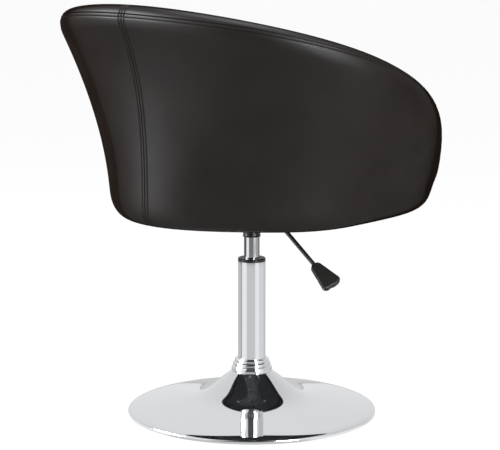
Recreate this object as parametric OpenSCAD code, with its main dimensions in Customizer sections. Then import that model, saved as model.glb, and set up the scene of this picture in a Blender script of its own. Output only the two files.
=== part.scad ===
// Height-adjustable tub chair on a chromed trumpet base with a gas lift.
// The origin is the centre of the floor face, +Z is up and the chair faces -Y.
// psi is the direction around the tub, in degrees: 0 is the back, 90 the side, 180 the front.

/* [Base] */
// Outside diameter of the trumpet base
base_d = 450; // [420:1:480]
// Sheet thickness of the trumpet
base_t = 1.6; // [1.2:0.1:2]
// Height of the trumpet's neck above the floor
neck_h = 79; // [74:1:86]
// Radius of the trumpet's neck
neck_r = 35.5; // [35:0.5:38]
// Height of the trumpet's upright rim
rim_lip_h = 3.7; // [3:0.1:5]
// Radial width of the shoulder between the trumpet's flare and its rim
shoulder_w = 30; // [24:1:36]
// Height of that shoulder
shoulder_h = 9; // [8:0.5:11]
// Radius of the steel ballast plate
ballast_r = 196; // [150:1:200]
// Thickness of the steel ballast plate
ballast_t = 5; // [3:0.5:5]
// Thickness of the rubber floor ring
floor_ring_t = 2.5; // [2:0.5:4]
// Radial width of the rubber floor ring
floor_ring_w = 46; // [40:1:60]
// Height of the collar over the neck
collar_h = 23.5; // [20:0.5:30]

/* [Column] */
// Outside diameter of the chromed column
column_d = 50; // [48:1:54]
// Wall of the chromed column
column_t = 1.5; // [1.2:0.1:2]
// Height of the column's upper end above the floor
column_top = 279; // [265:1:300]
// Radius lost by the column's taper inside the hub
column_taper = 2; // [1:0.5:3]
// Height of the column's lower end above the floor
column_foot_z = 14; // [12:0.5:16]
// Height of the bush's visible ring
bush_ring_h = 6; // [4:0.5:9]
// Length of the bush's sleeve inside the column
bush_sleeve_l = 72; // [50:1:80]

/* [Gas spring] */
// Diameter of the pressure tube
tube_d = 28; // [26:1:30]
// Wall of the pressure tube
tube_t = 1.8; // [1.5:0.1:2.5]
// Height of the pressure tube's lower end at the lowest seat position
tube_foot_z = 42; // [40:1:50]
// Travel of the seat
lift_travel = 120; // [80:5:125]
// Diameter of the piston rod
piston_rod_d = 10; // [8:0.5:11]
// Diameter of the piston rod's turned-down foot
piston_foot_d = 8; // [6:0.5:9]
// Height of the piston head
piston_h = 12; // [10:1:16]
// Number of balls in the thrust bearing
ball_count = 10; // [6:1:12]
// Diameter of a ball
ball_d = 5; // [4:0.5:5]
// Thickness of a bearing race
race_t = 2; // [1.5:0.5:3]
// Diameter of the release button
button_d = 6; // [5:0.5:7]
// Height of the release button above the pressure tube
button_h = 6; // [5:0.5:8]
// Travel of the release button
button_travel = 3.2; // [2.5:0.1:3.5]

/* [Mechanism plate] */
// Width of the mechanism plate, across the chair
plate_w = 190; // [170:1:210]
// Depth of the mechanism plate, front to back
plate_l = 170; // [150:1:180]
// Thickness of the mechanism plate
plate_t = 3; // [2:0.5:4]
// Bolt spacing across the chair
bolt_x = 156; // [140:1:160]
// Bolt spacing front to back
bolt_y = 130; // [110:1:140]
// Bolt shank diameter
bolt_d = 8; // [6:1:10]
// Outer length of the plate's pressed dish, across the chair
dish_w = 92; // [84:1:100]
// Outer width of the plate's pressed dish, front to back
dish_l = 74; // [68:1:90]
// Depth of the pressed dish below the plate
dish_h = 29; // [27:1:32]
// Height of the conical socket below the dish
socket_h = 22; // [18:1:30]
// Wall of the conical socket
socket_t = 3; // [2.5:0.5:5]
// Radius lost by the taper of the pressure tube in its socket
socket_taper = 1; // [0.5:0.1:1.5]

/* [Lever] */
// Diameter of the lever's rod
lever_d = 7.5; // [6:0.5:8]
// Distance of the lever's pivot from the column's axis
pivot_x = 30; // [26:1:32]
// Diameter of the pivot pin
pivot_d = 4; // [3:0.5:5]
// Distance of the lever's bend from the column's axis
bend_x = 51; // [50:1:60]
// Bend radius of the lever's rod
bend_r = 12; // [8:1:16]
// Slope of the lever's rod below level
lever_slope = 37; // [25:1:45]
// Length of the straight sloping rod
lever_l = 124; // [95:1:135]
// Slope of the paddle below level
paddle_slope = 34; // [20:1:45]
// Twist of the paddle around its own length
paddle_roll = 25; // [0:1:30]
// Length of the paddle
paddle_l = 57; // [50:1:75]
// Width of the paddle's narrow end
paddle_w1 = 18.5; // [15:0.5:22]
// Width of the paddle's wide end
paddle_w2 = 40; // [32:1:45]
// Thickness of the paddle
paddle_t = 11; // [10:0.5:14]

/* [Tub] */
// Height of the tub's underside above the floor
tub_z = 372; // [362:1:382]
// Half width of the tub at its rim
top_side = 346; // [320:1:360]
// Reach of the rim behind the column's axis
top_back = 307; // [290:1:330]
// Reach of the rim in front of the column's axis
top_front = 302; // [285:1:310]
// Half width of the tub at its foot
foot_side = 269; // [255:1:280]
// Reach of the foot behind the column's axis
foot_back = 262; // [245:1:270]
// Reach of the foot in front of the column's axis
foot_front = 297; // [285:1:305]
// How far the foot is drawn in half way between its back and its sides
foot_drawn = 15; // [5:1:20]
// Height at which the rim begins at the back
rim_back_z = 711; // [660:1:730]
// Height at which the rim begins at the sides
rim_side_z = 610; // [580:1:630]
// Height at which the rim begins at the front
rim_front_z = 449; // [440:1:465]
// How much deeper the rim dips at the front, for the knees
rim_dip = 15; // [5:1:15]
// Thickness of the padded wall at the back and the sides
wall_w = 72; // [64:1:76]
// Thickness of the padded wall at the front
wall_front_w = 46; // [42:1:52]
// Thickness of the lining's padding down at the seat
lining_foot_w = 24; // [16:1:28]
// Fullness of the rounded rim, where 1 is a half circle
rim_fullness = 1.25; // [1:0.05:1.3]
// Thickness of the outer cover and its foam
cover_t = 8; // [6:0.5:9]
// Thickness of the moulded tub shell
shell_t = 12; // [9:0.5:13]
// Width of the cover's hem under the tub
hem_w = 34; // [20:1:40]
// Thickness of the seat board
board_t = 15; // [12:1:18]
// Rise of the cushion's crown above its welt
cushion_crown = 30; // [15:1:35]
// Height of the cushion's side up to its welt
cushion_side = 36; // [30:1:40]

/* [Hidden] */

// Clearances
run_gap = 0.05;   // radial clearance of a running fit
fit_gap = 0.05;   // clearance of a pressed or tapered seat
soft_gap = 0.3;   // clearance between padded layers
eps = 0.01;       // overrun of a cut

// Finish colours
chrome = [0.82, 0.83, 0.85];
steel = [0.55, 0.56, 0.58];
dark_steel = [0.13, 0.13, 0.14];
black_plastic = [0.05, 0.05, 0.05];
rubber = [0.07, 0.07, 0.07];
leather = [0.09, 0.085, 0.08];
plywood = [0.76, 0.62, 0.43];

// Roundness of turned pieces
$fn = 96;

// ---- Trumpet profile: two Bezier curves, down the flare and over the rim's shoulder ----
profile_steps = 28;
shoulder_steps = 9;
rim_r = base_d / 2;
rim_foot_z = 0.8;
shoulder_z = rim_foot_z + rim_lip_h;
neck_straight = 2;
neck_reach = 69;        // how far out the neck's tangent ends
neck_drop = 0.68;       // and how far down, as a share of the neck's height
flare_reach = 37;       // the flare's control point, out from the neck
flare_drop = 0.558;     // and down, as a share of the neck's height
shoulder_turn = 4.5;    // length of the shoulder's tangent above the rim
flare_top_z = neck_h - neck_straight;
neck_a = [neck_r, flare_top_z];
neck_b = [neck_r + neck_reach, flare_top_z * (1 - neck_drop)];
flare_c = [neck_r + flare_reach, flare_top_z * (1 - flare_drop)];
flare_d = [rim_r - shoulder_w, shoulder_z + shoulder_h];
shoulder_b = flare_d + shoulder_w / 2 * (flare_d - flare_c) / norm(flare_d - flare_c);
shoulder_c = [rim_r, shoulder_z + shoulder_turn];
shoulder_d = [rim_r, shoulder_z];

function bezier(a, b, c, d, t) =
  pow(1 - t, 3) * a + 3 * t * pow(1 - t, 2) * b + 3 * t * t * (1 - t) * c + pow(t, 3) * d;

function bezier_slope(a, b, c, d, t) =
  3 * pow(1 - t, 2) * (b - a) + 6 * t * (1 - t) * (c - b) + 3 * t * t * (d - c);

// The point of a curved skin at t, moved inwards by depth along the normal
function skin(a, b, c, d, t, depth) =
  let (p = bezier(a, b, c, d, t))
  let (s = bezier_slope(a, b, c, d, t))
  p + depth * [s[1], -s[0]] / norm(s);

// From the neck down the flare, then over the shoulder to the upright rim
function trumpet_skin(depth) = concat(
  [[neck_r - depth, neck_h]],
  [for (i = [0 : profile_steps])
    skin(neck_a, neck_b, flare_c, flare_d, i / profile_steps, depth)
  ],
  [for (i = [1 : shoulder_steps])
    skin(flare_d, shoulder_b, shoulder_c, shoulder_d, i / shoulder_steps, depth)
  ],
  [[rim_r - depth, rim_foot_z]]
);

function reversed(list) = [for (i = [len(list) - 1 : -1 : 0]) list[i]];

// ---- Heights and radii along the column ----
ballast_z = floor_ring_t;
hub_z = ballast_z + ballast_t;
hub_flange_t = 6;
hub_flange_w = 18;
hub_wall = 6;
hub_head_h = 6;
hub_bore_d_top = column_d + 2 * fit_gap;
column_r = column_d / 2;
column_in_r = column_r - column_t;
column_foot_r = column_r - column_taper;
column_floor_t = 3;
collar_r = neck_r + 1.4;
collar_top_r = column_r + 5;
bush_top = column_top + bush_ring_h;
bush_foot = column_top - bush_sleeve_l;
race_z = column_foot_z + column_floor_t;
race_r = 17;
ball_z = race_z + race_t + ball_d / 2 + run_gap;
ball_pitch_r = 11.5;
cage_t = ball_d * 0.45;
upper_race_z = ball_z + ball_d / 2 + run_gap;
shoulder_on_race_z = upper_race_z + race_t;
rod_foot_z = column_foot_z - 6;
clip_t = 1.2;
clip_z = column_foot_z - clip_t - 0.2;
tube_r = tube_d / 2;
tube_in_r = tube_r - tube_t;
bumper_h = tube_foot_z - shoulder_on_race_z - soft_gap;
guide_z = tube_foot_z + 4;
guide_h = 14;
seal_h = 5;
piston_z = guide_z + guide_h + seal_h + lift_travel + 8;
rod_top_z = piston_z + piston_h;

// ---- Heights of the seat's underside ----
shell_z = tub_z + cover_t + soft_gap;
board_z = shell_z + shell_t;
board_top = board_z + board_t;
dust_t = 1.2;
plate_top = shell_z - dust_t;
plate_z = plate_top - plate_t;
dish_z = plate_top - dish_h;
socket_z = dish_z - socket_h;
tube_top = dish_z + plate_t + 2;
tube_roof_t = 3;
valve_h = 26;
valve_z = tube_top - tube_roof_t - valve_h;
valve_bore_z = valve_z + 3;
button_r = button_d / 2;
button_top = tube_top + button_h;
pin_foot_z = valve_bore_z + button_travel + 1.8;
taper_z = socket_z + 4;
taper_top_r = tube_r - socket_taper;
lever_r = lever_d / 2;
lever_gap = 0.3;
lever_z = button_top + lever_gap + lever_r;
dish_corner = 14;
washer_t = 1.6;
bolt_head_h = 5.3;
bolt_hole_r = bolt_d / 2 + 0.4;
mouth_r = 62;       // radius of the opening in the tub's underside, over the socket and the lever

module at_bolts()
{
  for (x = [-1, 1], y = [-1, 1])
    translate([x * bolt_x / 2, y * bolt_y / 2, 0])
      children();
}

// A ring or tube between two heights
module ring(r_out, r_in, z0, z1)
{
  rotate_extrude()
    translate([r_in, z0])
      square([r_out - r_in, z1 - z0]);
}

// ---- Base ----
module base_trumpet()
{
  color(chrome)
    rotate_extrude($fn = 180)
      polygon(concat(trumpet_skin(0), reversed(trumpet_skin(base_t))));
}

module base_hub()
{
  body_r = column_r + hub_wall;
  flange_r = body_r + hub_flange_w;
  fillet = 4;
  top_r = neck_r - base_t - fit_gap;
  foot_bore_r = column_foot_r + fit_gap;
  color(steel)
    rotate_extrude()
      polygon([
        [foot_bore_r, hub_z],
        [flange_r, hub_z],
        [flange_r, hub_z + hub_flange_t],
        [body_r, hub_z + hub_flange_t + fillet],
        [body_r, neck_h - hub_head_h - (top_r - body_r)],
        [top_r, neck_h - hub_head_h],
        [top_r, neck_h],
        [hub_bore_d_top / 2, neck_h],
        [foot_bore_r, column_foot_z]
      ]);
}

module ballast_plate()
{
  color(dark_steel)
    ring(ballast_r, column_foot_r - 2, ballast_z, ballast_z + ballast_t);
}

module floor_ring()
{
  ring_r = rim_r - base_t - fit_gap;
  color(rubber)
    rotate_extrude($fn = 180)
      polygon([
        [ring_r - floor_ring_w, 0],
        [ring_r - 1.5, 0],
        [ring_r, 1.5],
        [ring_r, floor_ring_t],
        [ring_r - floor_ring_w, floor_ring_t]
      ]);
}

module neck_collar()
{
  z_foot = flare_top_z;
  z_top = z_foot + collar_h;
  waist_z = z_foot + collar_h * 0.62;
  waist_r = collar_top_r + 1.8;
  crown = collar_top_r - column_r - 0.8;
  bore_r = column_r + run_gap;
  color(chrome)
    rotate_extrude()
      polygon(concat(
        [
          [neck_r + fit_gap, neck_h],
          [neck_r + fit_gap, z_foot],
          [collar_r - 0.8, z_foot],
          [collar_r, z_foot + 0.8]
        ],
        [for (i = [0 : 10])
          bezier(
            [collar_r, z_foot + 3],
            [collar_r, z_foot + 8],
            [waist_r + 2.2, waist_z - 4],
            [waist_r, waist_z],
            i / 10
          )
        ],
        [[collar_top_r, waist_z + 1.2], [collar_top_r, z_top - crown]],
        [for (a = [15 : 15 : 90])
          [collar_top_r - crown + crown * cos(a), z_top - crown + crown * sin(a)]
        ],
        [[bore_r, z_top - 0.4], [bore_r, neck_h]]
      ));
}

// ---- Column ----
module column_tube()
{
  foot_in_r = column_foot_r - column_t;
  foot_hole_r = piston_foot_d / 2 + 0.4;
  color(chrome)
    rotate_extrude()
      polygon([
        [foot_hole_r, column_foot_z],
        [column_foot_r, column_foot_z],
        [column_r, neck_h],
        [column_r, column_top],
        [column_in_r, column_top],
        [column_in_r, neck_h],
        [foot_in_r, race_z],
        [foot_hole_r, race_z]
      ]);
}

module guide_bush()
{
  bore_r = tube_r + run_gap;
  color(black_plastic)
    rotate_extrude()
      polygon([
        [bore_r, bush_foot],
        [column_in_r - fit_gap, bush_foot],
        [column_in_r - fit_gap, column_top],
        [column_r, column_top],
        [column_r, bush_top - 1.2],
        [column_r - 1.2, bush_top],
        [bore_r + 1.5, bush_top],
        [bore_r, bush_top - 1.5]
      ]);
}

module lower_race()
{
  color(steel)
    ring(race_r, piston_foot_d / 2 + 0.6, race_z, race_z + race_t);
}

// ---- Thrust bearing ----
module at_balls()
{
  for (i = [0 : ball_count - 1])
    rotate([0, 0, i * 360 / ball_count])
      translate([ball_pitch_r, 0, ball_z])
        children();
}

module ball_cage()
{
  color([0.72, 0.6, 0.3])
    difference()
    {
      ring(race_r - 1, piston_foot_d / 2 + 1, ball_z - cage_t / 2, ball_z + cage_t / 2);
      at_balls()
        cylinder(h = cage_t + 1, r = ball_d / 2 + run_gap, center = true, $fn = 32);
    }
}

module bearing_balls()
{
  color(steel)
    at_balls()
      sphere(d = ball_d, $fn = 32);
}

// ---- Piston, which turns with the seat and stays at its height ----
module piston_rod()
{
  foot_r = piston_foot_d / 2;
  rod_r = piston_rod_d / 2;
  color(steel)
    rotate_extrude()
      polygon([
        [0, rod_foot_z],
        [foot_r - 0.6, rod_foot_z],
        [foot_r, rod_foot_z + 0.6],
        [foot_r, clip_z],
        [foot_r - 0.8, clip_z],
        [foot_r - 0.8, clip_z + clip_t],
        [foot_r, clip_z + clip_t],
        [foot_r, shoulder_on_race_z],
        [rod_r, shoulder_on_race_z],
        [rod_r, piston_z],
        [foot_r, piston_z],
        [foot_r, rod_top_z],
        [0, rod_top_z]
      ]);
}

module piston_head()
{
  groove_z = piston_z + piston_h / 2;
  color(steel)
    difference()
    {
      ring(tube_in_r - run_gap, piston_foot_d / 2, piston_z, rod_top_z);
      ring(tube_r, tube_in_r - 2.5, groove_z - 1.5, groove_z + 1.5);
    }
}

module piston_seal()
{
  groove_z = piston_z + piston_h / 2;
  color(rubber)
    ring(tube_in_r - run_gap, tube_in_r - 2.5, groove_z - 1.5, groove_z + 1.5);
}

module upper_race()
{
  color(steel)
    ring(race_r, piston_foot_d / 2 + fit_gap, upper_race_z, shoulder_on_race_z);
}

module rubber_bumper()
{
  bore_r = piston_rod_d / 2 + fit_gap;
  color(rubber)
    rotate_extrude()
      polygon([
        [bore_r, shoulder_on_race_z],
        [tube_r - 1, shoulder_on_race_z],
        [tube_r - 3, shoulder_on_race_z + bumper_h / 2],
        [tube_r - 1, shoulder_on_race_z + bumper_h],
        [bore_r, shoulder_on_race_z + bumper_h]
      ]);
}

module rod_clip()
{
  groove_r = piston_foot_d / 2 - 0.8;
  color(dark_steel)
    difference()
    {
      ring(groove_r + 4.5, groove_r, clip_z, clip_z + clip_t);
      translate([0, -1.2, clip_z - 1])
        cube([groove_r + 6, 2.4, clip_t + 2]);
    }
}

// ---- Gas spring, which rises with the seat ----
module pressure_tube()
{
  color(steel)
    rotate_extrude()
      polygon([
        [tube_in_r - 1.5, tube_foot_z],
        [tube_r - 1, tube_foot_z],
        [tube_r, tube_foot_z + 1],
        [tube_r, taper_z],
        [taper_top_r, tube_top],
        [button_r + run_gap, tube_top],
        [button_r + run_gap, tube_top - tube_roof_t],
        [taper_top_r - tube_t, tube_top - tube_roof_t],
        [tube_in_r, taper_z],
        [tube_in_r, tube_foot_z + 2],
        [tube_in_r - 1.5, tube_foot_z + 2]
      ]);
}

module rod_guide()
{
  color(dark_steel)
    ring(tube_in_r - fit_gap, piston_rod_d / 2 + run_gap, guide_z, guide_z + guide_h);
}

module rod_seal()
{
  z0 = guide_z + guide_h;
  color(rubber)
    ring(tube_in_r - fit_gap, piston_rod_d / 2 + run_gap, z0, z0 + seal_h);
}

module valve_body()
{
  z0 = valve_z;
  z1 = valve_z + valve_h;
  body_r = taper_top_r - tube_t - fit_gap;
  color([0.75, 0.6, 0.3])
    difference()
    {
      rotate_extrude()
        polygon([[0, z0], [body_r - 1, z0], [body_r, z0 + 1], [body_r, z1], [0, z1]]);
      translate([0, 0, valve_bore_z])
        cylinder(h = valve_h, r = button_r + run_gap, $fn = 48);
    }
}

module release_pin()
{
  color(chrome)
    rotate_extrude($fn = 48)
      polygon([
        [0, pin_foot_z],
        [button_r, pin_foot_z],
        [button_r, button_top - 0.6],
        [button_r - 0.6, button_top],
        [0, button_top]
      ]);
}

module conical_socket()
{
  r_mouth = tube_r + fit_gap;
  r_top = taper_top_r + fit_gap;
  color(black_plastic)
    rotate_extrude()
      polygon([
        [r_mouth, socket_z],
        [r_mouth + socket_t - 1, socket_z],
        [r_mouth + socket_t, socket_z + 1],
        [r_mouth + socket_t, dish_z - 6],
        [r_mouth + socket_t + 6, dish_z - 2],
        [r_mouth + socket_t + 6, dish_z],
        [r_mouth + socket_t - 0.5, dish_z],
        [r_mouth + socket_t - 0.5, tube_top],
        [r_top, tube_top],
        [r_mouth, taper_z]
      ]);
}

module rounded_slab(w, l, r, h)
{
  linear_extrude(h)
    union()
    {
      square([w - 2 * r, l], center = true);
      square([w, l - 2 * r], center = true);
      for (x = [-1, 1], y = [-1, 1])
        translate([x * (w / 2 - r), y * (l / 2 - r)])
          circle(r = r, $fn = 48);
    }
}

module mechanism_plate()
{
  color(dark_steel)
    difference()
    {
      union()
      {
        translate([0, 0, plate_z])
          rounded_slab(plate_w, plate_l, dish_corner, plate_t);
        translate([0, 0, dish_z])
          rounded_slab(dish_w, dish_l, dish_corner, dish_h - eps);
      }
      translate([0, 0, dish_z + plate_t])
        rounded_slab(dish_w - 2 * plate_t, dish_l - 2 * plate_t, dish_corner - plate_t, dish_h);
      translate([0, 0, dish_z - 1])
        cylinder(h = plate_t + 2, r = tube_r + socket_t - 0.5 + 2 * fit_gap);
      at_bolts()
        translate([0, 0, plate_z - 1])
          cylinder(h = plate_t + 2, r = bolt_hole_r, $fn = 48);
      translate([-dish_w / 2 - 1, 0, lever_z])
        rotate([0, 90, 0])
          cylinder(h = plate_t + 4, r = lever_r + 2, $fn = 48);
    }
}

// ---- Lever ----
ear_gap = 10;
ear_t = 2.5;
ear_w = 14;
boss_w = ear_gap - 2 * soft_gap;

module pivot_bracket()
{
  z0 = dish_z + plate_t;
  ear_h = lever_z + 5 - z0;
  color(dark_steel)
    difference()
    {
      for (side = [-1, 1])
        translate([-pivot_x - ear_w / 2, side * (ear_gap + ear_t) / 2 - ear_t / 2, z0])
          cube([ear_w, ear_t, ear_h]);
      translate([-pivot_x, 0, lever_z])
        rotate([90, 0, 0])
          cylinder(h = ear_gap + 2 * ear_t + 2, r = pivot_d / 2 + fit_gap, center = true, $fn = 32);
    }
}

module pivot_pin()
{
  pin_l = ear_gap + 2 * ear_t + 2;
  color(steel)
    translate([-pivot_x, 0, lever_z])
      rotate([90, 0, 0])
        union()
        {
          cylinder(h = pin_l, r = pivot_d / 2, center = true, $fn = 32);
          for (side = [-1, 1])
            translate([0, 0, side * (pin_l / 2 + 0.5)])
              cylinder(h = 1, r = pivot_d / 2 + 1.5, center = true, $fn = 32);
        }
}

// The rod's path: level from the button to the bend, then down the slope
bend_drop = bend_r * (1 - cos(lever_slope));
bend_run = bend_r * sin(lever_slope);
slope_start = [-bend_x - bend_run, 0, lever_z - bend_drop];
slope_dir = [-cos(lever_slope), 0, -sin(lever_slope)];
slope_end = slope_start + lever_l * slope_dir;

module lever_rod()
{
  tip_x = button_r - 1;
  overlap = 0.5;
  bend_swell = 0.1;
  color(black_plastic)
    difference()
    {
      union()
      {
        translate([-bend_x - overlap, 0, lever_z])
          rotate([0, 90, 0])
            cylinder(h = bend_x + tip_x + overlap, r = lever_r, $fn = 48);
        translate([-bend_x, 0, lever_z - bend_r])
          rotate([90, 0, 0])
            rotate([0, 0, 90])
              rotate_extrude(angle = lever_slope, $fn = 48)
                translate([bend_r, 0])
                  circle(r = lever_r + bend_swell, $fn = 48);
        translate(slope_start - overlap * slope_dir)
          rotate([0, -90 - lever_slope, 0])
            cylinder(h = lever_l + overlap, r = lever_r, $fn = 48);
        translate([-pivot_x, 0, lever_z])
          rotate([90, 0, 0])
            cylinder(h = boss_w, r = lever_r + 1.5, center = true, $fn = 48);
      }
      translate([-pivot_x, 0, lever_z])
        rotate([90, 0, 0])
          cylinder(h = boss_w + 2, r = pivot_d / 2 + run_gap, center = true, $fn = 32);
    }
}

// The paddle in its own frame: its length along +X, its width along Y
module paddle_blank()
{
  edge = paddle_t / 2;
  hull()
  {
    for (side = [-1, 1])
      translate([edge * 0.6, side * (paddle_w1 / 2 - edge * 0.8), 0])
        scale([0.8, 0.8, 1])
          sphere(r = edge, $fn = 24);
    for (side = [-1, 1])
      translate([paddle_l - edge * 1.6, side * (paddle_w2 / 2 - edge * 1.3), 0])
        scale([1.4, 1.3, 0.85])
          sphere(r = edge, $fn = 24);
  }
}

// Shallow finger notches: [place along the paddle, side], where side 0 is the wide end
paddle_notches = [[0.52, 1], [0.78, 1], [1, 0]];
notch_r = 15;
notch_depth = 0.8;

function notch_centre(x, side) =
  let (half_w = paddle_w1 / 2 + (paddle_w2 - paddle_w1) / 2 * x)
  side == 0
  ? [paddle_l + notch_r - 2 * notch_depth, paddle_w2 / 8, 0]
  : [paddle_l * x, half_w + notch_r - notch_depth, 0];

module lever_paddle()
{
  socket_depth = 16;
  overlap = 6;
  color(black_plastic)
    difference()
    {
      translate(slope_end)
        rotate([0, 180 - paddle_slope, 0])
          rotate([paddle_roll, 0, 0])
            translate([-overlap, 0, 0])
              difference()
              {
                paddle_blank();
                for (notch = paddle_notches)
                  translate(notch_centre(notch[0], notch[1]))
                    cylinder(h = paddle_t * 2, r = notch_r, center = true, $fn = 48);
              }
      translate(slope_end - socket_depth * slope_dir)
        rotate([0, -90 - lever_slope, 0])
          cylinder(h = socket_depth + fit_gap, r = lever_r + fit_gap, $fn = 48);
    }
}

// ---- Fasteners of the mechanism plate ----
module plate_washers()
{
  color(steel)
    at_bolts()
      translate([0, 0, plate_z - washer_t])
        difference()
        {
          cylinder(h = washer_t, r = bolt_d, $fn = 48);
          translate([0, 0, -1])
            cylinder(h = washer_t + 2, r = bolt_hole_r, $fn = 48);
        }
}

module plate_bolts()
{
  head_z = plate_z - washer_t - bolt_head_h;
  color(steel)
    at_bolts()
      translate([0, 0, head_z])
        union()
        {
          cylinder(h = bolt_head_h, d = bolt_d * 1.875, $fn = 6);
          cylinder(h = board_top - 1 - head_z, r = bolt_d / 2, $fn = 48);
        }
}

module tee_nuts()
{
  barrel_r = bolt_d / 2 + 1.4;
  color(steel)
    at_bolts()
      difference()
      {
        union()
        {
          translate([0, 0, board_top - board_t + 2])
            cylinder(h = board_t - 2, r = barrel_r, $fn = 48);
          translate([0, 0, board_top])
            cylinder(h = dust_t, r = bolt_d * 1.2, $fn = 48);
        }
        translate([0, 0, board_z - 1])
          cylinder(h = board_t + 6, r = bolt_d / 2 + fit_gap, $fn = 48);
      }
}

// ---- Form of the tub ----
// A value that goes smoothly from the back, over the side, to the front
function around(psi, back, side, front) =
  (back + front) / 4 + side / 2
  + (back - front) / 2 * cos(psi)
  + ((back + front) / 4 - side / 2) * cos(2 * psi);

function smooth(w) = w * w * (3 - 2 * w);

// The plan of the tub: a rounded square in polar form, squarer at the front
square_back = 2;
square_front = 3.4;
square_top = 2.15;
function plan(psi, side, back, front, n_back, n_front) =
  let (c = cos(psi))
  let (n = n_back + (n_front - n_back) * smooth(0.5 - 0.5 * c))
  pow(pow(abs(sin(psi)) / side, n) + pow(abs(c) / (c > 0 ? back : front), n), -1 / n);

function foot_r(psi) =
  plan(psi, foot_side, foot_back, foot_front, square_back, square_front)
  - (cos(psi) > 0 ? foot_drawn * pow(sin(2 * psi), 2) : 0);
function top_r(psi) = plan(psi, top_side, top_back, top_front, square_top, square_top);
function top_z(psi) =
  around(psi, rim_back_z, rim_side_z, rim_front_z)
  - rim_dip * smooth(max(0, min(1, (-cos(psi) - 0.5) / 0.5)));

// At the back, the sides and the front: width and height of the rounded lower edge, and the
// slopes of the wall at its foot and its top, as radius over height
edge_widths = [18, 28, 48];
edge_heights = [28, 36, 42];
foot_slopes = [0, 0.27, 0.69];
top_slopes = [0.45, 0.26, -0.65];
function eased(psi, v) = around(psi, v[0], v[1], v[2]);
function edge_w(psi) = eased(psi, edge_widths);
function edge_h(psi) = eased(psi, edge_heights);
function foot_slope(psi) = eased(psi, foot_slopes);
function top_slope(psi) = eased(psi, top_slopes);
function wall_at(psi) = around(psi, wall_w, wall_w, wall_front_w);

function wall_r(psi, z) =
  let (z0 = tub_z + edge_h(psi))
  let (h = top_z(psi) - z0)
  let (u = max(0, min(1, (z - z0) / h)))
  foot_r(psi) * (2 * pow(u, 3) - 3 * u * u + 1)
  + top_r(psi) * (3 * u * u - 2 * pow(u, 3))
  + h * foot_slope(psi) * (pow(u, 3) - 2 * u * u + u)
  + h * top_slope(psi) * (pow(u, 3) - u * u);

// A point of the meridian at psi, given as [radius, height]
function on_tub(psi, p) = [p[0] * sin(psi), p[0] * cos(psi), p[1]];

edge_steps = 4;
wall_steps = 7;
ring_steps = 48;

// The wall's section at one depth below the skin, from the radius where it starts underneath
function section(psi, depth, start_r) =
  let (z0 = tub_z + edge_h(psi))
  let (c_r = foot_r(psi) - edge_w(psi))
  let (a = edge_w(psi) - depth)
  let (b = edge_h(psi) - depth)
  concat(
    [[start_r, tub_z + depth]],
    [for (k = [0 : edge_steps])
      [c_r + a * sin(90 * k / edge_steps), z0 - b * cos(90 * k / edge_steps)]
    ],
    [for (i = [1 : wall_steps])
      let (z = z0 + (top_z(psi) - z0) * i / wall_steps)
      [wall_r(psi, z) - depth, z]
    ]
  );

// A solid through closed sections, all with the same number of points, set around the tub
module loft(sections, full)
{
  n = len(sections[0]);
  m = len(sections);
  half = n / 2;
  sides = [
    for (j = [0 : m - (full ? 1 : 2)], i = [0 : n - 1])
      let (a = j * n + i)
      let (b = j * n + (i + 1) % n)
      let (c = ((j + 1) % m) * n + (i + 1) % n)
      let (d = ((j + 1) % m) * n + i)
      each (i < half ? [[a, c, b], [a, d, c]] : [[a, d, b], [b, d, c]])
  ];
  caps = full ? [] : [
    for (i = [0 : half - 2])
      let (k = n - 1 - i)
      let (e = (m - 1) * n)
      each [
        [i, i + 1, k - 1], [i, k - 1, k],
        [e + i, e + k - 1, e + i + 1], [e + i, e + k, e + k - 1]
      ]
  ];
  polyhedron(points = [for (s = sections) each s], faces = concat(sides, caps));
}

// A solid through stacked rings, closed by a point at each end
module ring_stack(rings, low_point, high_point)
{
  n = len(rings[0]);
  m = len(rings);
  low = n * m;
  high = low + 1;
  sides = [
    for (j = [0 : m - 2], i = [0 : n - 1])
      let (a = j * n + i)
      let (b = j * n + (i + 1) % n)
      each [[a, b, b + n], [a, b + n, a + n]]
  ];
  ends = [
    for (i = [0 : n - 1])
      let (k = (i + 1) % n)
      each [[low, k, i], [high, (m - 1) * n + i, (m - 1) * n + k]]
  ];
  polyhedron(
    points = concat([for (r = rings) each r], [low_point, high_point]),
    faces = concat(sides, ends)
  );
}

// ---- Upholstery ----
seam_angle = 0.04;

module outer_cover(from, to)
{
  steps = ring_steps / 2;
  loft(
    [
      for (j = [0 : steps])
        let (psi = from + (to - from) * j / steps)
        let (hem_r = foot_r(psi) - edge_w(psi) - hem_w)
        [
          for (p = concat(section(psi, 0, hem_r), reversed(section(psi, cover_t, hem_r))))
            on_tub(psi, p)
        ]
    ],
    false
  );
}

module outer_cover_left()
{
  color(leather)
    outer_cover(seam_angle, 180 - seam_angle);
}

module outer_cover_right()
{
  color(leather)
    outer_cover(180 + seam_angle, 360 - seam_angle);
}

module tub_shell()
{
  outer = cover_t + soft_gap;
  color(plywood)
    difference()
    {
      loft(
        [
          for (j = [0 : ring_steps - 1])
            let (psi = 360 * j / ring_steps)
            [
              for (p = concat(
                section(psi, outer, mouth_r),
                reversed(section(psi, outer + shell_t, mouth_r))
              ))
                on_tub(psi, p)
            ]
        ],
        true
      );
      at_bolts()
        translate([0, 0, shell_z - 1])
          cylinder(h = shell_t + 2, r = bolt_hole_r, $fn = 48);
    }
}

// The padded lining between the shell and the seating space, thicker towards the rim
pad_steps = 7;
pad_gap = 2.4;
pad_out = cover_t + soft_gap + shell_t + pad_gap;
pad_z = board_top + soft_gap;

function lining(psi, z) =
  let (u = max(0, min(1, (z - pad_z) / (top_z(psi) - pad_z))))
  let (foot = pad_out + lining_foot_w)
  foot + (wall_at(psi) - foot) * smooth(u);

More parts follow.
